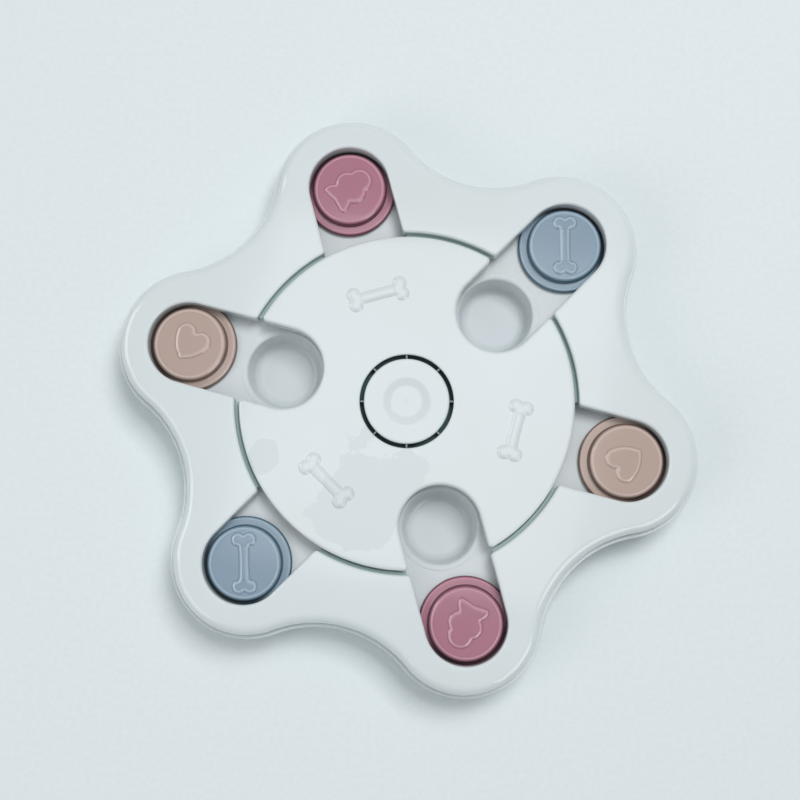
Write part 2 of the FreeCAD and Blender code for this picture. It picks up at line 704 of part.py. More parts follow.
def build_parts():
    parts = {
        "base_tray": make_base_tray(),
        "deck": make_deck(),
        "top_cover": make_top_cover(),
        "hub_cap": make_hub_cap(),
        "pivot_washer": make_pivot_washer(),
        "pivot_screw": make_pivot_screw(),
    }
    parts["turntable"], leaves = split_turntable(make_turntable())
    for place, leaf in zip(PLACES[1::2], leaves):
        parts["turntable_leaf_" + place] = leaf
    sliders = round_turns(make_slider())
    cups = round_turns(make_food_cup())
    tracks = round_turns(make_track())
    for index, place in enumerate(PLACES):
        colour, kind, motif_angle = SLIDERS[index]
        knob = make_knob(kind, motif_angle)
        knob.translate(polar(KNOB_CENTRE_RADIUS, lobe_angle(index)))
        parts["%s_slider_%s" % (colour, place)] = sliders[index]
        parts["%s_knob_%s" % (colour, place)] = knob
        parts["food_cup_" + place] = cups[index]
        parts["slider_track_" + place] = tracks[index]
    for index, foot in enumerate(round_turns(make_foot())):
        parts["rubber_foot_%d" % (index + 1)] = foot
    screw = make_shell_screw()
    screw.translate(at(SCREW_CENTRE_RADIUS, 0))
    screws = [turned(screw, valley_angle(index)) for index in range(LOBE_COUNT)]
    parts["shell_screws"] = Part.makeCompound(screws)
    return parts


os.makedirs("parts", exist_ok=True)
for node, shape in build_parts().items():
    solids = len(shape.Solids)
    box = shape.BoundBox
    print("%-26s solids %d valid %s volume %9.1f mm3 z %.2f to %.2f" % (
        node, solids, shape.isValid(), shape.Volume, box.ZMin, box.ZMax))
    shape.exportStep("parts/%s.step" % node)
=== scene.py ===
import bpy
import bmesh
import json
import math
import numpy as np
from mathutils import Matrix, Vector
from mathutils.geometry import tessellate_polygon

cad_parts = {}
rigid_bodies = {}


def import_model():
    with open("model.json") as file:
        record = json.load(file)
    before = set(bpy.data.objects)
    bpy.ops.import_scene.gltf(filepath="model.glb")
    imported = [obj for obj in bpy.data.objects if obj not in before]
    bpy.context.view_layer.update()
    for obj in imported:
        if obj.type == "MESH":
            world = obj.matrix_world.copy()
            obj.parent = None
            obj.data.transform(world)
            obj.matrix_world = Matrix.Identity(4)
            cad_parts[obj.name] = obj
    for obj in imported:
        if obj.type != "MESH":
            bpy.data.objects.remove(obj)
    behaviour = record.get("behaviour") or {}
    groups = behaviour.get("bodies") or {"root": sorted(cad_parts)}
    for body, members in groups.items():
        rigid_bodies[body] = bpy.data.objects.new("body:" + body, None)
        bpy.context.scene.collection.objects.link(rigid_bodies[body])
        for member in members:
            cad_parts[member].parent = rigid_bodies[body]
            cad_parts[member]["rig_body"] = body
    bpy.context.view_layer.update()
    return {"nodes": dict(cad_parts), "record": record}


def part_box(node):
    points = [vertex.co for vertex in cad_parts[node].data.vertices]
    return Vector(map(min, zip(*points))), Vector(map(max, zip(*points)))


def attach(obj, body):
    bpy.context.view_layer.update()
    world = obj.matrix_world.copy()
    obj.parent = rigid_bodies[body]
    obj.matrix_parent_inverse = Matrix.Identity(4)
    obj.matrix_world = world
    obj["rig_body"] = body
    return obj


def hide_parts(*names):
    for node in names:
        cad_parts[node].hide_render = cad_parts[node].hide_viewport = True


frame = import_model()

# %% [markdown]
# This script dresses a dog puzzle feeder: a six-lobed tray under a cover, with a turning disc
# and six sliding knobs over food wells. It is written as a lesson. Each step first says what
# the piece is on the real toy, then how its surface is made, and prints what it made.
# Lengths are in metres, and millimetres are written as a number times mm.

# %% Driving sizes
mm = 0.001
LOBE_COUNT = 6
LOBE_ANGLES = [45 + 60 * index for index in range(LOBE_COUNT)]
PLACES = ["upper_right", "top", "left", "lower_left", "bottom", "right"]
COVER_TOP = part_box("top_cover")[1].z
KNOB_TOP = COVER_TOP - 4 * mm
KNOB_CENTRE_RADIUS = 109.5 * mm
WELL_CENTRE_RADIUS = 62 * mm
SLOT_HALF_WIDTH = 19.7 * mm
SLOT_CORNER_ROUNDING = 2 * mm
OPENING_RADIUS = 83 * mm
DISC_RADIUS = 81 * mm

# %% [markdown]
# A shader is a sum of small formulas, such as a colour mixed by some noise. Built node by node,
# such a formula is hard to read. This class lets a socket be added, multiplied or subtracted
# like a number, and one method makes any other node with its settings and inputs.

# %% Shader maths


class Shade:
    """One output socket in a node tree, with arithmetic that adds Math nodes to the tree."""

    def __init__(self, tree, socket):
        self.tree = tree
        self.socket = socket

    def node(self, kind, output=0, settings=None, **inputs):
        """A node of this type with settings and input values or links; returns one output.

        An input called a_b stands for the socket named "A B", and in1 for the second socket.
        """
        made = self.tree.nodes.new(kind)
        for name, value in (settings or {}).items():
            setattr(made, name, value)
        for name, value in inputs.items():
            if name[:2] == "in" and name[2:].isdigit():
                socket = made.inputs[int(name[2:])]
            else:
                socket = made.inputs[name.replace("_", " ").title()]
            if isinstance(value, Shade):
                self.tree.links.new(value.socket, socket)
            else:
                socket.default_value = value
        return Shade(self.tree, made.outputs[output])

    def math(self, operation, *values):
        sockets = {"in%d" % index: value for index, value in enumerate(values)}
        return self.node("ShaderNodeMath", 0, {"operation": operation}, **sockets)

    def __add__(self, other):
        return self.math("ADD", self, other)

    def __mul__(self, other):
        return self.math("MULTIPLY", self, other)

    def __sub__(self, other):
        return self.math("SUBTRACT", self, other)

    def __rsub__(self, other):
        return self.math("SUBTRACT", other, self)

    def __truediv__(self, other):
        return self.math("DIVIDE", self, other)

    def __rtruediv__(self, other):
        return self.math("DIVIDE", other, self)

    __radd__ = __add__
    __rmul__ = __mul__

    def between(self, low, high):
        """0 below low, 1 above high, and a smooth step between them."""
        return self.node(
            "ShaderNodeMapRange", 0, {"interpolation_type": "SMOOTHSTEP"},
            in0=self, in1=low, in2=high, in3=0.0, in4=1.0
        )

    def mix(self, first, second):
        """The first colour where this factor is 0 and the second where it is 1."""
        return self.node(
            "ShaderNodeMix", 2, {"data_type": "RGBA"}, in0=self, in6=first, in7=second
        )


def linear(red, green, blue):
    """A colour written as on a screen, from 0 to 255, as linear light with full alpha."""
    def channel(value):
        share = value / 255
        return share / 12.92 if share <= 0.04045 else ((share + 0.055) / 1.055) ** 2.4
    return (channel(red), channel(green), channel(blue), 1.0)


def scaled(colour, factor):
    return tuple(min(1.0, part * factor) for part in colour[:3]) + (1.0,)


def new_material(name):
    """A material with a Principled shader: returns it, its shader node and a first socket."""
    material = bpy.data.materials.new(name)
    material.use_nodes = True
    tree = material.node_tree
    shader = tree.nodes["Principled BSDF"]
    place = tree.nodes.new("ShaderNodeTexCoord")
    return material, shader, Shade(tree, place.outputs["Object"])


def noise(place, scale, detail=2.0, roughness=0.5, shift=0.0):
    """Smooth noise between 0 and 1 over the object's own coordinates."""
    moved = place.node(
        "ShaderNodeVectorMath", 0, {"operation": "ADD"}, in0=place, in1=(shift, shift, shift)
    )
    return place.node(
        "ShaderNodeTexNoise", 0, {"normalize": True},
        vector=moved, scale=scale, detail=detail, roughness=roughness
    )


def attribute(place, name):
    """A value that the mesh keeps at each of its vertices."""
    return place.node("ShaderNodeAttribute", 2, {"attribute_name": name})


def wire(shader, place, colour, rough, height, depth):
    """Links a colour, a roughness and a bump of this depth in metres to the shader."""
    bump = place.node("ShaderNodeBump", 0, {}, strength=1.0, distance=depth, height=height)
    for name, shade in (("Base Color", colour), ("Roughness", rough), ("Normal", bump)):
        place.tree.links.new(shade.socket, shader.inputs[name])


print("white paper as linear light", [round(part, 3) for part in linear(255, 255, 255)])

# %% [markdown]
# Nearly every piece is glossy moulded plastic. What makes it look real is small: the colour
# drifts a little over a hand's width, rubbed edges are paler, fingers and paws leave dull
# smudges and fine scratches, and the mould leaves a faint ripple in the reflections. Some
# light and shade is painted into the colour as well: a painted highlight on shoulders, painted
# shade on steep sides and in narrow gaps, and painted reflections on the disc.

# %% Plastic
COAT = 0.25
COAT_ROUGHNESS = 0.05
PLASTIC_IOR = 1.5
GAP_ROUGHER = 0.5
# Painted shade in the groove round the disc, in the ring round the hub cap and on the sliders' outer
# sides: two radii, the height it ends below and the width it sets in over.
GROOVE = (81 * mm, 83.2 * mm, 31.6 * mm, 0.2 * mm)
HUB_RING = (20.5 * mm, 22.7 * mm, 32 * mm, 0.2 * mm)
SLIDER_OUTER_SIDE = (121 * mm, 140 * mm, 27.6 * mm, 14 * mm)
# Painted reflections on the disc: darker, glossier wavy spots, each a place and a radius.
DISC_PAINTED_REFLECTIONS = [(-18 * mm, -44 * mm, 25 * mm), (-68 * mm, -26 * mm, 7 * mm)]


def scratches(place, turn, shift):
    """Thin broken lines: noise that is stretched thirty times in one direction."""
    stretched = place.node(
        "ShaderNodeMapping", 0, {},
        in0=place, in1=(shift, shift, 0.0), in2=(0.0, 0.0, turn), in3=(1.0, 30.0, 1.0)
    )
    lines = noise(stretched, 45, 3.0, 0.6, shift)
    patches = noise(place, 26, 1.0, 0.5, shift + 3.0)
    return lines.between(0.66, 0.70) * patches.between(0.52, 0.66)


def wavy_patch(place, x, y, radius):
    """1 inside a round patch at a place seen from above, with a wavy and fairly sharp edge."""
    flat = place.node("ShaderNodeVectorMath", 0, {"operation": "MULTIPLY"}, in0=place, in1=(1, 1, 0))
    away = place.node(
        "ShaderNodeVectorMath", 1, {"operation": "DISTANCE"}, in0=flat, in1=(x, y, 0)
    )
    wave = noise(place, 38, 4.0, 0.6, x * 50) - 0.5
    inside = away + wave * (radius * 2.2)
    return 1 - inside.between(radius * 0.97, radius * 1.03)


def ring_gap(place, inner, outer, top, soft):
    """1 in a ring-shaped gap round the axis, below a height: little light gets in there.

    It sets in over a soft width inside the ring.
    """
    flat = place.node("ShaderNodeVectorMath", 0, {"operation": "MULTIPLY"}, in0=place, in1=(1, 1, 0))
    radius = place.node("ShaderNodeVectorMath", 1, {"operation": "LENGTH"}, in0=flat)
    height = place.node("ShaderNodeSeparateXYZ", 2, {}, in0=place)
    inside = radius.between(inner - soft, inner) * (1 - radius.between(outer, outer + 0.2 * mm))
    return inside * (1 - height.between(top - 0.6 * mm, top))


def plastic(name, colour, roughness=0.12, ripple=0.05, drift=0.03, wear=0.35, painted_side_shade=None,
            painted_shoulder_highlight=None, gap=None, painted_gap_shade=None, patches=()):
    """Glossy moulded plastic in one colour, with drift, rubbed edges, smudges and scratches.

    The tone given for steep sides is painted shade, and the one given for shoulders a painted
    highlight. gap is a ring painted dark and matt as shade: its two radii, the height it ends
    below and the width it sets in over. patches are wavy darker, glossier spots painted as a
    reflection: place and radius.
    """
    material, shader, place = new_material(name)
    cloud = noise(place, 14, 3.0)
    fine = noise(place, 900, 2.0, 0.6, 1.0)
    warm = (colour[0] * (1 - drift * 0.6), colour[1] * (1 - drift), colour[2] * (1 - drift * 1.6), 1)
    body = cloud.between(0.3, 0.7).mix(colour, warm)
    body = (fine.between(0.70, 0.76) * 0.12).mix(body, scaled(colour, 0.6))
    dull = noise(place, 22, 4.0, 0.6, 5.0).between(0.45, 0.75)
    # Painted reflection: wavy spots that are darker and glossier than the rest.
    for x, y, radius in patches:
        patch = wavy_patch(place, x, y, radius)
        body = (patch * 0.9).mix(body, scaled(colour, 0.91))
        dull = dull * (1 - patch)
    # Painted highlight on rounded shoulders and painted shade on steep sides.
    if painted_side_shade:
        steep = attribute(place, "steep")
        shoulder = steep.between(0.01, 0.04) * (1 - steep.between(0.09, 0.18))
        body = (shoulder * 0.85).mix(body, painted_shoulder_highlight)
        body = (steep.between(0.13, 0.50) * 0.9).mix(body, painted_side_shade)
    spots = noise(place, 160, 3.0, 0.6, 2.0).between(0.42, 0.62)
    rubbed = attribute(place, "edge") * spots * wear
    body = rubbed.mix(body, scaled(colour, 1.2))
    lines = scratches(place, 0.5, 1.7) + scratches(place, 2.1, 4.1)
    rough = roughness + dull * 0.05 + lines * 0.16 + rubbed * 0.2
    shader.inputs["Coat Weight"].default_value = COAT
    # Painted shade: a dark matt ring where little light gets into a gap.
    if gap:
        inside = ring_gap(place, *gap)
        body = inside.mix(body, painted_gap_shade)
        rough = rough + inside * GAP_ROUGHER
        place.tree.links.new((COAT - inside * COAT).socket, shader.inputs["Coat Weight"])
    height = noise(place, 60, 1.0, 0.4, 7.0) * ripple + fine * 0.004 - lines * 0.01
    wire(shader, place, body, rough, height, 1 * mm)
    shader.inputs["IOR"].default_value = PLASTIC_IOR
    shader.inputs["Coat Roughness"].default_value = COAT_ROUGHNESS
    return material


def slider_plastic(name, colour, painted_side_shade, painted_shoulder_highlight, painted_outer_shade):
    """A slider's plastic, with painted shade on its outer side, which lies close to the slot's end.
    """
    return plastic(name, linear(*colour), ripple=0.03, painted_side_shade=linear(*painted_side_shade), painted_shoulder_highlight=linear(*painted_shoulder_highlight),
                   gap=SLIDER_OUTER_SIDE, painted_gap_shade=linear(*painted_outer_shade))


MINT_WHITE = linear(225, 233, 235)
# The cover's groove, the disc's hub ring and the sliders' outer sides carry painted shade, and the
# disc carries painted reflections.
materials = {
    "cover_plastic": plastic("cover plastic", MINT_WHITE,
                             gap=GROOVE, painted_gap_shade=linear(172, 192, 189)),
    "turntable_plastic": plastic("turntable plastic", MINT_WHITE, patches=DISC_PAINTED_REFLECTIONS,
                                 gap=HUB_RING, painted_gap_shade=linear(72, 100, 100)),
    "tray_plastic": plastic("tray plastic", linear(224, 232, 234)),
    "deck_plastic": plastic("deck plastic", linear(216, 223, 226), roughness=0.3, ripple=0.02),
    # Each slider: its colour, painted shade on steep sides, a painted highlight on shoulders and
    # painted shade on its outer side.
    "blue_plastic": slider_plastic("blue plastic", (143, 163, 180), painted_side_shade=(42, 82, 98),
                                   painted_shoulder_highlight=(176, 196, 209), painted_outer_shade=(38, 56, 66)),
    "pink_plastic": slider_plastic("pink plastic", (178, 123, 140), painted_side_shade=(84, 32, 52),
                                   painted_shoulder_highlight=(210, 158, 174), painted_outer_shade=(66, 34, 46)),
    "tan_plastic": slider_plastic("tan plastic", (190, 168, 158), painted_side_shade=(96, 70, 60),
                                  painted_shoulder_highlight=(214, 194, 184), painted_outer_shade=(78, 62, 56)),
}
print("plastics", sorted(materials))

# %% [markdown]
# The feet are soft matt rubber with a dusty bloom, and the screws are zinc-plated steel with
# duller patches and a fine grain. The feet and the shell screws show only when the toy is
# turned over, and the pivot screw hides under the hub cap.

# %% Rubber and steel


def rubber(name, colour):
    """Matt rubber: a dusty bloom over grey, with a fine grain."""
    material, shader, place = new_material(name)
    bloom = noise(place, 120, 4.0, 0.6).between(0.4, 0.75)
    body = bloom.mix(colour, scaled(colour, 1.35))
    rough = 0.75 + bloom * 0.15
    grain = noise(place, 2200, 2.0, 0.6, 3.0)
    wire(shader, place, body, rough, grain, 0.1 * mm)
    return material


def steel(name, colour):
    """Plated steel: bright metal with duller patches and a fine grain."""
    material, shader, place = new_material(name)
    patches = noise(place, 300, 3.0, 0.6).between(0.4, 0.7)
    body = patches.mix(colour, scaled(colour, 0.75))
    rough = 0.28 + patches * 0.2
    grain = noise(place, 4000, 2.0, 0.6, 3.0)
    wire(shader, place, body, rough, grain, 0.05 * mm)
    shader.inputs["Metallic"].default_value = 1.0
    return material


materials["foot_rubber"] = rubber("foot rubber", linear(138, 142, 145))
materials["screw_steel"] = steel("screw steel", linear(196, 196, 192))
slot_of = {part["node"]: part["material_slot"] for part in frame["record"]["subparts"]}
print("materials", len(materials), "for", len(slot_of), "nodes")

# %% [markdown]
# Every moulded piece here is an outline seen from above that is carried up through a few
# levels, and drawn in or out at each level. So an outline is stated once, as arcs and straight
# runs, and a side view is stated as steps of distance moved inwards and height. A rounding is
# a run of such steps on a quarter circle.

# %% Outlines and steps


def arc(start, through, end, spacing):
    """Points on the circle through three points, from the first to just before the last."""
    first, middle, last = (np.array(point, float) for point in (start, through, end))
    a, b = middle - first, last - first
    cross = 2 * (a[0] * b[1] - a[1] * b[0])
    square_a, square_b = a @ a, b @ b
    centre = first + np.array([b[1] * square_a - a[1] * square_b,
                               a[0] * square_b - b[0] * square_a]) / cross
    radius = np.linalg.norm(first - centre)
    angles = [math.atan2(*(point - centre)[::-1]) for point in (first, middle, last)]
    sweep = (angles[2] - angles[0]) % (2 * math.pi)
    if (angles[1] - angles[0]) % (2 * math.pi) > sweep:
        sweep -= 2 * math.pi
    count = max(2, math.ceil(abs(sweep) * radius / spacing))
    turn = angles[0] + sweep * np.arange(count) / count
    return centre + radius * np.stack([np.cos(turn), np.sin(turn)], axis=1)


def run(start, end, spacing):
    """Points on a straight line, from the first to just before the last."""
    start, end = np.array(start, float), np.array(end, float)
    count = max(1, math.ceil(np.linalg.norm(end - start) / spacing))
    return start + (end - start) * (np.arange(count) / count)[:, None]


def outline(runs, spacing):
    """A closed outline, anticlockwise, from runs of two points (straight) or three (an arc)."""
    parts = [(run if len(points) == 2 else arc)(*points, spacing) for points in runs]
    points = np.concatenate(parts)
    following = np.roll(points, -1, axis=0)
    area = np.sum(points[:, 0] * following[:, 1] - points[:, 1] * following[:, 0])
    return points if area > 0 else points[::-1]


def spun(points, degrees, centre=(0, 0)):
    """Points turned about the origin and then moved to a centre."""
    angle = math.radians(degrees)
    turn = np.array([[math.cos(angle), math.sin(angle)], [-math.sin(angle), math.cos(angle)]])
    return np.asarray(points) @ turn + np.array(centre)


def polar(radius, degrees):
    angle = math.radians(degrees)
    return (radius * math.cos(angle), radius * math.sin(angle))


def inset(points, distance):
    """The outline moved inwards: each corner goes along the mean of its two sides' normals."""
    along = np.roll(points, -1, axis=0) - points
    along /= np.linalg.norm(along, axis=1)[:, None]
    normals = np.stack([-along[:, 1], along[:, 0]], axis=1)
    mean = normals + np.roll(normals, 1, axis=0)
    mean /= np.linalg.norm(mean, axis=1)[:, None]
    stretch = 1 / np.clip(np.sum(mean * normals, axis=1), 0.7, 1)
    return points + mean * (stretch * distance)[:, None]


def levels(points, steps):
    """The outline at each step, a step being (distance inwards, height)."""
    rings = [inset(points, distance) for distance, _ in steps]
    heights = [np.full(len(points), height) for _, height in steps]
    return np.stack([np.column_stack([ring, height]) for ring, height in zip(rings, heights)])


def rounding(side, top, radius, direction=1, count=6):
    """Steps up a side and over its rounded top edge; direction -1 leads outwards, as in a hole."""
    turn = np.linspace(0, math.pi / 2, count + 1)
    inwards = side + direction * radius * (1 - np.cos(turn))
    return list(zip(inwards, top - radius + radius * np.sin(turn)))


def circle(radius, spacing=0.8 * mm):
    count = max(24, math.ceil(2 * math.pi * radius / spacing))
    turn = 2 * math.pi * np.arange(count) / count
    return radius * np.stack([np.cos(turn), np.sin(turn)], axis=1)


print("an arc's points", len(arc((1, 0), (0, 1), (-1, 0), 0.1)))

# %% [markdown]
# The levels are joined by a grid of four-sided faces, and a flat face between two loops, or
# inside one, is filled with triangles. Every piece is a closed shell whose faces point
# outwards. Each vertex also keeps how sharply the surface bends there, for the rubbed edges,
# and how steep it is, for the painted shade on steep sides and the painted highlight on
# rounded shoulders.

# %% Shells
LONG_SPAN = 4 * mm
JOIN_DISTANCE = 0.001 * mm
SHARP_ANGLE = math.radians(35)
BEND_SCALE = 12


def bends(mesh):
    """Two values at each vertex: how much the surface bends, and how steep it is.

    The first is one minus the length of the mean of the normals around it, scaled up, and 0
    beside a face longer than LONG_SPAN, over which it would spread. The second is one minus
    the upward share of that mean.
    """
    count = len(mesh.vertices)
    normals = np.zeros(len(mesh.polygons) * 3)
    mesh.polygons.foreach_get("normal", normals)
    corners = np.zeros(len(mesh.loops), np.int64)
    mesh.loops.foreach_get("vertex_index", corners)
    sizes = np.zeros(len(mesh.polygons), np.int64)
    mesh.polygons.foreach_get("loop_total", sizes)
    of_corner = np.repeat(normals.reshape(-1, 3), sizes, axis=0)
    total = np.zeros((count, 3))
    np.add.at(total, corners, of_corner)
    length = np.linalg.norm(total, axis=1)
    bend = 1 - length / np.maximum(np.bincount(corners, minlength=count), 1)
    steep = 1 - total[:, 2] / np.maximum(length, 1e-9)
    places = np.zeros(count * 3)
    mesh.vertices.foreach_get("co", places)
    ends = np.zeros(len(mesh.edges) * 2, np.int64)
    mesh.edges.foreach_get("vertices", ends)
    ends = ends.reshape(-1, 2)
    spans = np.linalg.norm(np.diff(places.reshape(-1, 3)[ends], axis=1)[:, 0], axis=1)
    longest = np.zeros(count)
    np.maximum.at(longest, ends.ravel(), np.repeat(spans, 2))
    beside_long_face = longest > LONG_SPAN
    bend = np.where(beside_long_face, 0, np.clip(bend * BEND_SCALE, 0, 1))
    return bend, np.clip(steep, 0, 1)


def dress(mesh, name, slot, body, nodes, turn_outward):
    """Makes a mesh a smooth shaded piece that rides a body and stands in for CAD nodes.

    turn_outward is for a mesh made here. A CAD mesh already has its faces pointing outward.
    """
    shell = bmesh.new()
    shell.from_mesh(mesh)
    bmesh.ops.remove_doubles(shell, verts=shell.verts, dist=JOIN_DISTANCE)
    if turn_outward:
        bmesh.ops.recalc_face_normals(shell, faces=shell.faces)
    shell.to_mesh(mesh)
    shell.free()
    mesh.shade_smooth()
    mesh.set_sharp_from_angle(angle=SHARP_ANGLE)
    for attribute, values in zip(("edge", "steep"), bends(mesh)):
        mesh.attributes.new(attribute, "FLOAT", "POINT").data.foreach_set("value", values)
    mesh.materials.clear()
    mesh.materials.append(materials[slot])
    piece = bpy.data.objects.new(name, mesh)
    bpy.context.scene.collection.objects.link(piece)
    weighted = piece.modifiers.new("flat faces stay flat", "WEIGHTED_NORMAL")
    weighted.keep_sharp = True
    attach(piece, body)
    if nodes:
        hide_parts(*nodes)
    return piece


def moulding(name, stacks, fills, slot, body, nodes=()):
    """A closed shell from stacks of levels, each joined by four-sided faces.

    fills names the flat faces: each is a list of (stack, level) loops, the outer loop first.
    """
    starts = np.cumsum([0] + [rings.shape[0] * rings.shape[1] for rings in stacks])
    points = np.concatenate([rings.reshape(-1, 3) for rings in stacks])
    faces = []
    for start, rings in zip(starts, stacks):
        high, around = rings.shape[:2]
        index = start + np.arange(high * around).reshape(high, around)
        beside = np.roll(index, -1, axis=1)
        quads = np.stack([index[:-1], beside[:-1], beside[1:], index[1:]], axis=-1)
        faces += quads.reshape(-1, 4).tolist()
    for loops in fills:
        ids = [starts[stack] + (level % stacks[stack].shape[0]) * stacks[stack].shape[1]
               + np.arange(stacks[stack].shape[1]) for stack, level in loops]
        triangles = tessellate_polygon([points[loop].tolist() for loop in ids])
        faces += np.concatenate(ids)[np.array(triangles)].tolist()
    mesh = bpy.data.meshes.new(name)
    mesh.from_pydata(points.tolist(), [], faces)
    return dress(mesh, name, slot, body, nodes, turn_outward=True)


print("faces longer than", LONG_SPAN, "m get no rubbed edge")


# %% [markdown]
# The cover is the upper half of the body: a six-lobed plate with a broad soft shoulder, a
# round opening and six slots whose rims are softly rounded. A real one is moulded in one
# shot. Its outer outline is twelve arcs that touch without a corner, and its inner outline is
# the opening's circle with the slots' straight sides and round ends. Between the slots, six
# short thin ledges stand in the groove round the disc and show as a pale line in it.

# %% Cover
TIP_RADIUS = 145 * mm
VALLEY_RADIUS = 113.5 * mm
LOBE_ARC_RADIUS = 38 * mm
COVER_INSET = 2.2 * mm
COVER_BOTTOM = 21 * mm
COVER_WALL = 2.5 * mm
COVER_ROUNDING = 5 * mm
COVER_RIM_ROUNDING = 1.4 * mm
SKIRT_BOTTOM = 25 * mm
SKIRT_WALL = 2 * mm
LEDGE_INNER = 81.5 * mm
LEDGE_OUTER = 83.3 * mm
LEDGE_TOP = 28.6 * mm
LEDGE_BOTTOM = 27.2 * mm
LEDGE_HALF_ANGLE = 15
SPACING = 1.2 * mm


def star_outline():
    """Lobe and valley arcs in turn, each touching the next without a corner."""
    reach = TIP_RADIUS - LOBE_ARC_RADIUS
    gap = LOBE_ARC_RADIUS - VALLEY_RADIUS
    far = (reach ** 2 - gap ** 2) / (2 * (gap + reach * math.cos(math.radians(30))))
    runs = []
    for angle in LOBE_ANGLES:
        lobe = np.array(polar(reach, angle))
        following = np.array(polar(reach, angle + 60))
        before, after = (np.array(polar(far, angle + side)) for side in (-30, 30))
        start, end = (lobe + (other - lobe) / np.linalg.norm(other - lobe) * LOBE_ARC_RADIUS
                      for other in (before, after))
        back = (after - following) / np.linalg.norm(after - following) * LOBE_ARC_RADIUS
        runs.append((start, polar(TIP_RADIUS, angle), end))
        runs.append((end, polar(VALLEY_RADIUS, angle + 30), following + back))
    return outline(runs, SPACING)


def slotted(radius, rounded_radius, centre_distance, slot_angles, end_side, step):
    """A circle with slots: a corner arc, a side, a round end, a side and a corner arc in turn.

    rounded_radius is where the corner arcs' centres lie, and end_side is +1 for slots that
    lead outwards from the circle and -1 for slots that lead inwards from its rim.
    """
    across = SLOT_HALF_WIDTH + SLOT_CORNER_ROUNDING
    corner = np.array([math.sqrt(rounded_radius ** 2 - across ** 2), across])
    touch = corner * radius / rounded_radius
    nearest = corner - np.array([0, SLOT_CORNER_ROUNDING])
    halfway = (touch + nearest) / 2 - corner
    bulge = corner + halfway / np.linalg.norm(halfway) * SLOT_CORNER_ROUNDING
    flip = np.array([1, -1])
    end = np.array([centre_distance, SLOT_HALF_WIDTH])
    tip = np.array([centre_distance + end_side * SLOT_HALF_WIDTH, 0])
    runs = []
    for angle in slot_angles:
        local = [(touch * flip, bulge * flip, nearest * flip), (nearest * flip, end * flip),
                 (end * flip, tip, end), (end, nearest), (nearest, bulge, touch)]
        runs += [[spun(point, angle) for point in points] for points in local]
        middle = polar(radius, angle + step / 2)
        runs.append((spun(touch, angle), middle, spun(touch * flip, angle + step)))
    return outline(runs, SPACING)


star = star_outline()
opening = slotted(OPENING_RADIUS, OPENING_RADIUS + SLOT_CORNER_ROUNDING, KNOB_CENTRE_RADIUS,
                  LOBE_ANGLES, 1, 60)
plate_bottom = COVER_TOP - COVER_WALL
outside = [(COVER_INSET + COVER_WALL, plate_bottom), (COVER_INSET + COVER_WALL, COVER_BOTTOM),
           (COVER_INSET, COVER_BOTTOM)]
outside += rounding(COVER_INSET, COVER_TOP, COVER_ROUNDING, 1, 10)
inside = [(-SKIRT_WALL, plate_bottom), (-SKIRT_WALL, SKIRT_BOTTOM), (0, SKIRT_BOTTOM)]
inside += rounding(0, COVER_TOP, COVER_RIM_ROUNDING, -1)
stacks = [levels(star, outside), levels(opening, inside)]
fills = [[(0, -1), (1, -1)], [(0, 0), (1, 0)]]
for angle in LOBE_ANGLES:
    first, middle, last = (angle + 30 + side * LEDGE_HALF_ANGLE for side in (-1, 0, 1))
    outer = [polar(LEDGE_OUTER, turn) for turn in (first, middle, last)]
    inner = [polar(LEDGE_INNER, turn) for turn in (last, middle, first)]
    ledge = outline([outer, (outer[2], inner[0]), inner, (inner[2], outer[0])], SPACING)
    fills += [[(len(stacks), level)] for level in (0, -1)]
    stacks.append(levels(ledge, [(0, LEDGE_BOTTOM), (0, LEDGE_TOP)]))
cover = moulding("top_cover_surface", stacks, fills, "cover_plastic", "tray", ["top_cover"])
print("cover faces", len(cover.data.polygons))

# %% [markdown]
# The tray is the lower half: a star-shaped shell whose lip stands a little outside the cover,
# with a floor, six foot recesses and six deep holes for the screws. The real one is moulded
# with the posts inside, which the deck hides, so only its skin is made here, and a hair
# inside the solid's outline, to stay within its size. The flat underside is one face with
# twelve round holes, and each hole is a short stack of circles.

# %% Tray
TRAY_BOTTOM = 1.6 * mm
TRAY_FLOOR_TOP = 3.4 * mm
TRAY_WALL = 2.6 * mm
DECK_BOTTOM = 18.5 * mm
LIP_TOP = 24.2 * mm
LIP_WIDTH = 2 * mm
LIP_ROUNDING = 0.9 * mm
TRAY_INSET = 0.03 * mm
SOFT = 0.3 * mm
FOOT_RECESS = {"radius": 6.1 * mm, "centre": 123 * mm, "angle": 45, "top": 2.2 * mm}
SCREW_HOLE = {"radius": 3.8 * mm, "centre": 97 * mm, "angle": 75, "top": 15 * mm}
tray_steps = [(SOFT, TRAY_BOTTOM), (TRAY_INSET, TRAY_BOTTOM + SOFT)]
tray_steps += [(TRAY_INSET, LIP_TOP - 3 * LIP_ROUNDING)]
tray_steps += rounding(TRAY_INSET, LIP_TOP, LIP_ROUNDING, 1, 8)
tray_steps += [(LIP_WIDTH - SOFT, LIP_TOP), (LIP_WIDTH, LIP_TOP - SOFT), (LIP_WIDTH, DECK_BOTTOM)]
tray_steps += [(TRAY_WALL, DECK_BOTTOM), (TRAY_WALL, TRAY_FLOOR_TOP)]
stacks = [levels(star, tray_steps)]
fills = [[(0, -1)]]
holes = []
for kind in (FOOT_RECESS, SCREW_HOLE):
    hole_steps = [(-SOFT, TRAY_BOTTOM), (0, TRAY_BOTTOM + SOFT), (0, kind["top"])]
    for index in range(LOBE_COUNT):
        hole = circle(kind["radius"]) + polar(kind["centre"], kind["angle"] + 60 * index)
        holes.append((len(stacks), 0))
        fills.append([(len(stacks), -1)])
        stacks.append(levels(hole, hole_steps))
fills.append([(0, 0)] + holes)
tray = moulding("base_tray_surface", stacks, fills, "tray_plastic", "tray", ["base_tray"])
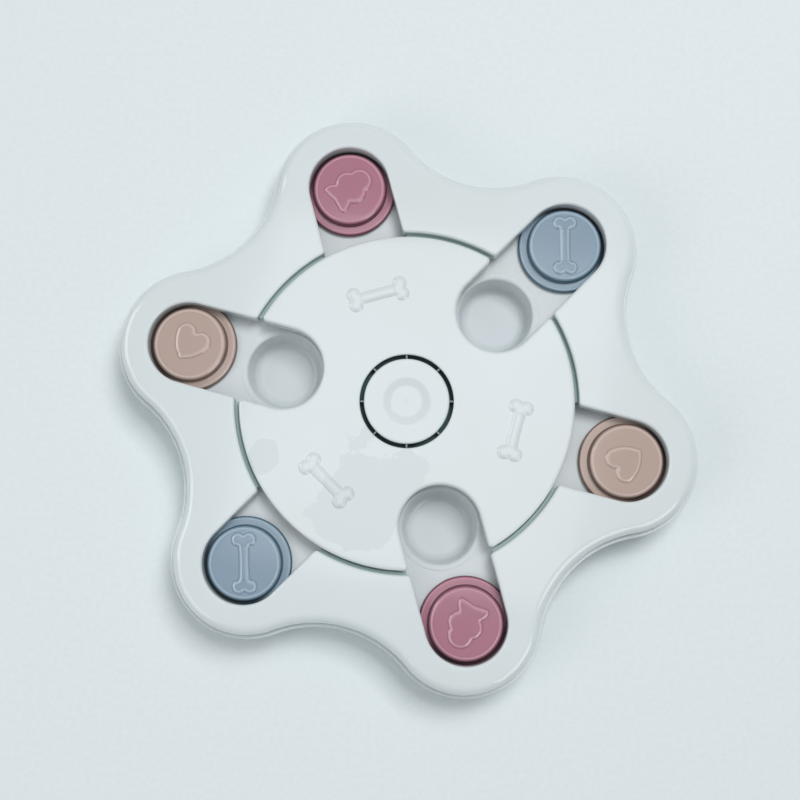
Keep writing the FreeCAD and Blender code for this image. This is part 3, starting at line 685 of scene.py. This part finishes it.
print("tray faces", len(tray.data.polygons))

# %% [markdown]
# The turntable is a disc that lies level with the cover in its opening. It has three slots
# open at the rim, to match the cover's, and a round pocket in the middle for the hub cap. The
# solid is cut into a middle and three leaves, and this one skin covers them without a seam.

# %% Turntable
DISC_RIM_ROUNDING = 1.6 * mm
POCKET_RADIUS = 22.6 * mm
POCKET_ROUNDING = 0.8 * mm
POCKET_WALL = 2 * mm
HUB_FLOOR_TOP = 27 * mm
BORE_RADIUS = 8.1 * mm
rim = slotted(DISC_RADIUS, DISC_RADIUS - SLOT_CORNER_ROUNDING, WELL_CENTRE_RADIUS,
              LOBE_ANGLES[::2], -1, 120)
outside = [(SKIRT_WALL, plate_bottom), (SKIRT_WALL, SKIRT_BOTTOM), (0, SKIRT_BOTTOM)]
outside += rounding(0, COVER_TOP, DISC_RIM_ROUNDING)
pocket = [(-POCKET_WALL, plate_bottom), (-POCKET_WALL, SKIRT_BOTTOM)]
pocket += [(POCKET_RADIUS - BORE_RADIUS, SKIRT_BOTTOM), (POCKET_RADIUS - BORE_RADIUS, HUB_FLOOR_TOP)]
pocket += [(0, HUB_FLOOR_TOP)] + rounding(0, COVER_TOP, POCKET_ROUNDING, -1)
leaves = ["turntable_leaf_" + place for place in PLACES[1::2]]
disc = moulding(
    "turntable_surface", [levels(rim, outside), levels(circle(POCKET_RADIUS), pocket)],
    [[(0, -1), (1, -1)], [(0, 0), (1, 0)]], "turntable_plastic", "turntable",
    ["turntable"] + leaves
)
print("disc faces", len(disc.data.polygons))

# %% [markdown]
# The hub cap is pressed into the pocket and hides the pivot screw. It has a shallow dish with
# a tiny gate mark in its middle, where the plastic entered the mould, and eight small ribs
# that hold it in the pocket and cross the dark ring around it.

# %% Hub cap
CAP_RADIUS = 20.6 * mm
CAP_ROUNDING = 1.0 * mm
CAP_BOTTOM = 27 * mm
CAP_WALL = 2 * mm
CAP_PLATE = 1.5 * mm
DISH_RADIUS = 12.5 * mm
DISH_SLOPE = 6 * mm
DISH_DEPTH = 1 * mm
GATE_RADIUS = 1.1 * mm
GATE_FLAT_SHARE = 0.4
GATE_DEPTH = 0.12 * mm
RIB_COUNT = 8
RIB_TOP = 31.6 * mm
RIB_HALF = 0.5 * mm
RIB_ROOT = 0.3 * mm
RIB_CLEARANCE = 0.05 * mm
RIB_SOFT = 0.2 * mm
dish = COVER_TOP - DISH_DEPTH


def soft_step(start, end, high, low, count=8):
    """Steps that leave one level and reach another along half a wave."""
    share = np.linspace(0, 1, count + 1)
    heights = high + (low - high) * (1 - np.cos(share * math.pi)) / 2
    return list(zip(start + (end - start) * share, heights))


cap_steps = [(CAP_RADIUS - GATE_RADIUS, dish - CAP_PLATE), (CAP_WALL, dish - CAP_PLATE)]
cap_steps += [(CAP_WALL, CAP_BOTTOM), (0, CAP_BOTTOM)]
cap_steps += rounding(0, COVER_TOP, CAP_ROUNDING)
dish_start = CAP_RADIUS - DISH_RADIUS
gate_start = CAP_RADIUS - GATE_RADIUS
gate_end = CAP_RADIUS - GATE_RADIUS * GATE_FLAT_SHARE
cap_steps += soft_step(dish_start, dish_start + DISH_SLOPE, COVER_TOP, dish)
cap_steps += soft_step(gate_start, gate_end, dish, dish - GATE_DEPTH, 4)
stacks = [levels(circle(CAP_RADIUS, 0.5 * mm), cap_steps)]
rib_start = CAP_RADIUS - RIB_ROOT
rib_end = POCKET_RADIUS - RIB_CLEARANCE
corners = [(rib_start, -RIB_HALF), (rib_end, -RIB_HALF), (rib_end, RIB_HALF), (rib_start, RIB_HALF)]
rib = outline(list(zip(corners, corners[1:] + corners[:1])), 0.4 * mm)
rib_steps = [(0, CAP_BOTTOM), (0, RIB_TOP - RIB_SOFT), (RIB_SOFT, RIB_TOP)]
stacks += [levels(spun(rib, 360 / RIB_COUNT * index), rib_steps) for index in range(RIB_COUNT)]
fills = [[(stack, level)] for stack in range(len(stacks)) for level in (0, -1)]
cap = moulding("hub_cap_surface", stacks, fills, "turntable_plastic", "turntable", ["hub_cap"])
print("hub cap faces", len(cap.data.polygons))

# %% [markdown]
# Each slider is one moulding: a wide flange that runs on the deck and a round knob with a
# broad soft shoulder, so that a paw or a nose can push it. Its side view is one run of steps
# round a circle. The two solids of a slider are replaced together.

# %% Sliders
FLANGE_RADIUS = 22.5 * mm
FLANGE_BOTTOM = 21.1 * mm
FLANGE_TOP = 24.6 * mm
FLANGE_ROUNDING = 2 * mm
KNOB_RADIUS = 18.25 * mm
KNOB_ROUNDING = 3 * mm
FOOT_ROUNDING = 0.5 * mm
FLANGE_SOFT = 0.4 * mm
COLOURS = ["blue", "pink", "tan"] * 2
knob_side = FLANGE_RADIUS - KNOB_RADIUS
slider_steps = [(FLANGE_SOFT, FLANGE_BOTTOM), (0, FLANGE_BOTTOM + FLANGE_SOFT)]
slider_steps += rounding(0, FLANGE_TOP, FLANGE_ROUNDING, 1, 8)
turn = np.linspace(0, math.pi / 2, 5)
slider_steps += list(zip(knob_side - FOOT_ROUNDING * (1 - np.sin(turn)),
                         FLANGE_TOP + FOOT_ROUNDING * (1 - np.cos(turn))))
slider_steps += rounding(knob_side, KNOB_TOP, KNOB_ROUNDING, 1, 10)
for place, angle, colour in zip(PLACES, LOBE_ANGLES, COLOURS):
    ring = circle(FLANGE_RADIUS) + polar(KNOB_CENTRE_RADIUS, angle)
    body = "%s_slider_%s" % (colour, place)
    moulding(
        body + "_surface", [levels(ring, slider_steps)], [[(0, 0)], [(0, -1)]],
        colour + "_plastic", body, [body, body.replace("slider", "knob")]
    )
print("slider steps", len(slider_steps))

# %% [markdown]
# The knobs carry raised figures that are moulded in: a bone, a heart or a plain animal head,
# and the turntable has three bones. The figure's outline is joined to a spine inside it by
# straight lines, and the height at each point follows from its distance to the outline, so
# the edge is equally soft everywhere and the top is flat.

# %% Raised figures
FIGURE_HEIGHT = 0.98 * mm
FIGURE_EDGE = 2.3 * mm
DISC_BONE_RADIUS = 54 * mm
SUNK = 0.2 * mm


def mirrored(points):
    """Runs of arcs through a half outline's points, and the same on the other side."""
    runs = []
    for sign in (1, -1):
        side = [(x * mm, sign * y * mm) for x, y in points]
        arcs = [side[first:first + 3] for first in range(0, len(side) - 1, 2)]
        runs += arcs if sign == 1 else [part[::-1] for part in reversed(arcs)]
    return runs


def bone_half(length, head, shaft):
    """Half of a bone in millimetres: a knuckle, a short flare, the shaft and the other end."""
    knuckle = head * 0.29
    out, along = head / 2 - knuckle, length / 2 - knuckle
    neck = np.array([along - knuckle, shaft / 2])
    touch = np.array([along, out]) + polar(knuckle, 150)
    flare = (neck + touch) / 2 + np.array([0.25, -0.35])
    far = np.array([along, out]) + polar(knuckle, 45)
    notch = np.array([along + math.sqrt(knuckle ** 2 - out ** 2), 0])
    waist = np.array([0, shaft / 2 - 0.15])
    flip = np.array([-1, 1])
    return [notch * flip, far * flip, touch * flip, flare * flip, (neck - (0.8, 0)) * flip, waist,
            neck - (0.8, 0), flare, touch, far, notch]


def heart_half(width, height):
    """Half of a heart in millimetres: the rounded tip, the flank and the lobe to the notch."""
    lobe = width * 0.27
    side = width / 2 - lobe
    centre = np.array([height / 2 - lobe, side])
    low = np.array([-height / 2 + height * 0.05, width * 0.09])
    shoulder = centre + polar(lobe, 110)
    crown = centre + polar(lobe, 40)
    across = (shoulder - low) / np.linalg.norm(shoulder - low)
    flank = (shoulder + low) / 2 + np.array([-across[1], across[0]]) * height * 0.07
    notch = (centre[0] + math.sqrt(lobe ** 2 - side ** 2), 0)
    tip = (-height / 2, 0)
    bend = (-height / 2 + height * 0.012, width * 0.047)
    return [tip, bend, low, flank, shoulder, crown, notch]


HEAD_HALF = [(-12.4, 0), (-10.4, 4.7), (-5.6, 6.2), (-1.2, 8.7), (4.2, 6.2), (6.8, 7.8),
             (8.9, 8.1), (10.3, 7.4), (10.6, 5.8), (10.3, 3.0), (9.8, 0)]
FIGURES = {
    "bone": (mirrored(bone_half(29.4, 12.4, 5.6)), 10.5),
    "disc_bone": (mirrored(bone_half(30, 12.4, 6.0)), 10.5),
    "heart": (mirrored(heart_half(18.5, 17.5)), 3.0),
    "head": (mirrored(HEAD_HALF), 5.0),
}


def figure(name, kind, turn, centre, base, slot, body):
    """A raised figure: lines from its outline to its spine, lifted by a parabola.

    The height is FIGURE_HEIGHT times 1 - (1 - d / FIGURE_EDGE) squared, where d is the
    distance to the outline, and FIGURE_HEIGHT where d is above FIGURE_EDGE.
    """
    runs, reach = FIGURES[kind]
    edge = outline(runs, 0.3 * mm)
    spine = np.stack([np.clip(edge[:, 0], -reach * mm, reach * mm), np.zeros(len(edge))], axis=1)
    share = np.linspace(0, 0.985, 30) ** 1.5
    rings = edge + (spine - edge) * share[:, None, None]
    start, step = edge, np.roll(edge, -1, axis=0) - edge
    flat = rings.reshape(-1, 1, 2) - start
    along = np.clip(np.sum(flat * step, axis=2) / np.sum(step * step, axis=1), 0, 1)
    gap = np.linalg.norm(flat - along[..., None] * step, axis=2).min(axis=1)
    share = np.clip(gap / FIGURE_EDGE, 0, 1)
    height = base + FIGURE_HEIGHT * (1 - (1 - share) ** 2)
    rings = spun(rings.reshape(-1, 2), turn, centre)
    lifted = np.column_stack([rings, height]).reshape(-1, len(edge), 3)
    foot = lifted[:1].copy()
    foot[..., 2] = base - SUNK
    stack = np.concatenate([foot, lifted])
    return moulding(name, [stack], [[(0, 0)], [(0, -1)]], slot, body)


MOTIFS = [("bone", 90), ("head", 218), ("heart", 56), ("bone", 92), ("head", 64), ("heart", 216)]
for place, angle, colour, (kind, turn) in zip(PLACES, LOBE_ANGLES, COLOURS, MOTIFS):
    centre = polar(KNOB_CENTRE_RADIUS, angle)
    figure("%s_on_%s_knob" % (kind, place), kind, turn, centre, KNOB_TOP, colour + "_plastic",
           "%s_slider_%s" % (colour, place))
for place, angle in zip(PLACES[1::2], LOBE_ANGLES[1::2]):
    centre = polar(DISC_BONE_RADIUS, angle)
    figure("bone_on_disc_" + place, "disc_bone", angle + 90, centre, COVER_TOP,
           "turntable_plastic", "turntable")
print("figures", len(MOTIFS) + 3)

# %% [markdown]
# The rest keeps the CAD's own surfaces: the deck with its cups and tracks, the pivot, the
# screws and the feet. Those solids come as loose triangles, which show as facets. A copy
# whose corners are joined can be shaded smooth, with each flat face kept flat.

# %% Smooth copies of the other solids
made = ["top_cover", "base_tray", "turntable", "hub_cap"] + leaves
others = [
    node for node in frame["nodes"]
    if node not in made and "_slider_" not in node and "_knob_" not in node
]
for node in others:
    source = frame["nodes"][node]
    mesh = source.data.copy()
    name = node + "_surface"
    dress(mesh, name, slot_of[node], source["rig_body"], [node], turn_outward=False)
print("smooth copies", len(others))

# %% [markdown]
# The toy lies on a plain pale floor under soft studio light: one large lamp up and to the
# right, a weak fill lamp and a dim sky that fills the shadows. Gloss mirrors its surroundings,
# so three more soft boxes are only seen in it and light nothing. The camera looks almost
# straight down, from where the circles of the knobs and wells look as round as they do there.

# %% Floor, lamps and camera


def surface(name, points, faces, material):
    """A plain object from its corner points and faces."""
    mesh = bpy.data.meshes.new(name)
    mesh.from_pydata(points, [], faces)
    mesh.materials.append(material)
    piece = bpy.data.objects.new(name, mesh)
    bpy.context.scene.collection.objects.link(piece)
    return piece


def floor_material():
    """Matt paper whose tone drifts a little in fine grains."""
    material, shader, place = new_material("floor paper")
    grain = noise(place, 400, 3.0)
    body = grain.between(0.2, 0.8).mix(linear(230, 238, 239), linear(234, 241, 242))
    place.tree.links.new(body.socket, shader.inputs["Base Color"])
    shader.inputs["Roughness"].default_value = 0.9
    return material


FLOOR_HALF = 4.0
floor = surface(
    "floor",
    [(-FLOOR_HALF, -FLOOR_HALF, 0), (FLOOR_HALF, -FLOOR_HALF, 0),
     (FLOOR_HALF, FLOOR_HALF, 0), (-FLOOR_HALF, FLOOR_HALF, 0)],
    [(0, 1, 2, 3)], floor_material()
)


def lamp(name, place, size, power, lights=True, mirrored=True):
    """A square soft lamp turned to the toy, which may only light or only be mirrored."""
    light = bpy.data.lights.new(name, "AREA")
    light.size = size
    light.energy = power
    holder = bpy.data.objects.new(name, light)
    holder.location = place
    direction = Vector((0, 0, COVER_TOP)) - Vector(place)
    holder.rotation_euler = direction.to_track_quat("-Z", "Y").to_euler()
    holder.visible_diffuse = lights
    holder.visible_glossy = mirrored
    bpy.context.scene.collection.objects.link(holder)
    return holder


lamp("overhead soft box", (0.50, 0.66, 1.9), 0.8, 22.5, mirrored=False)
lamp("mirrored soft box", (0.02, 0.12, 1.2), 0.5, 1.2, lights=False)
lamp("fill lamp", (-0.9, -0.5, 0.9), 0.8, 3)
lamp("low right soft box", (0.75, -0.75, 0.75), 0.7, 4, lights=False)
lamp("left soft box", (-0.95, 0.25, 0.7), 0.7, 4, lights=False)
SKY_COLOUR = (0.9, 0.95, 1.0, 1.0)
SKY_STRENGTH = 0.36
world = bpy.data.worlds.new("studio")
world.use_nodes = True
sky = world.node_tree.nodes["Background"]
sky.inputs["Color"].default_value = SKY_COLOUR
sky.inputs["Strength"].default_value = SKY_STRENGTH
bpy.context.scene.world = world

CAMERA_PLACE = Vector((0.27 * mm, -66.87 * mm, 631.8 * mm))
CAMERA_TARGET = Vector((-3.38 * mm, 4.21 * mm, 0))
CAMERA_ROLL = -0.0025
PICTURE_WIDTH_IN_PIXELS = 800
FOCAL_LENGTH_IN_PIXELS = 1253.97
SENSOR_WIDTH_IN_MM = 36
camera_data = bpy.data.cameras.new("camera")
camera_data.sensor_width = SENSOR_WIDTH_IN_MM
camera_data.lens = SENSOR_WIDTH_IN_MM * FOCAL_LENGTH_IN_PIXELS / PICTURE_WIDTH_IN_PIXELS
camera = bpy.data.objects.new("camera", camera_data)
bpy.context.scene.collection.objects.link(camera)
camera.location = CAMERA_PLACE
backward = (CAMERA_PLACE - CAMERA_TARGET).normalized()
up_hint = Vector((math.sin(CAMERA_ROLL), math.cos(CAMERA_ROLL), 0))
right = up_hint.cross(backward).normalized()
up = backward.cross(right)
camera.rotation_mode = "QUATERNION"
camera.rotation_quaternion = Matrix((right, up, backward)).transposed().to_quaternion()
bpy.context.scene.camera = camera
bpy.context.scene.view_settings.view_transform = "Standard"
print("camera lens", round(camera_data.lens, 2))
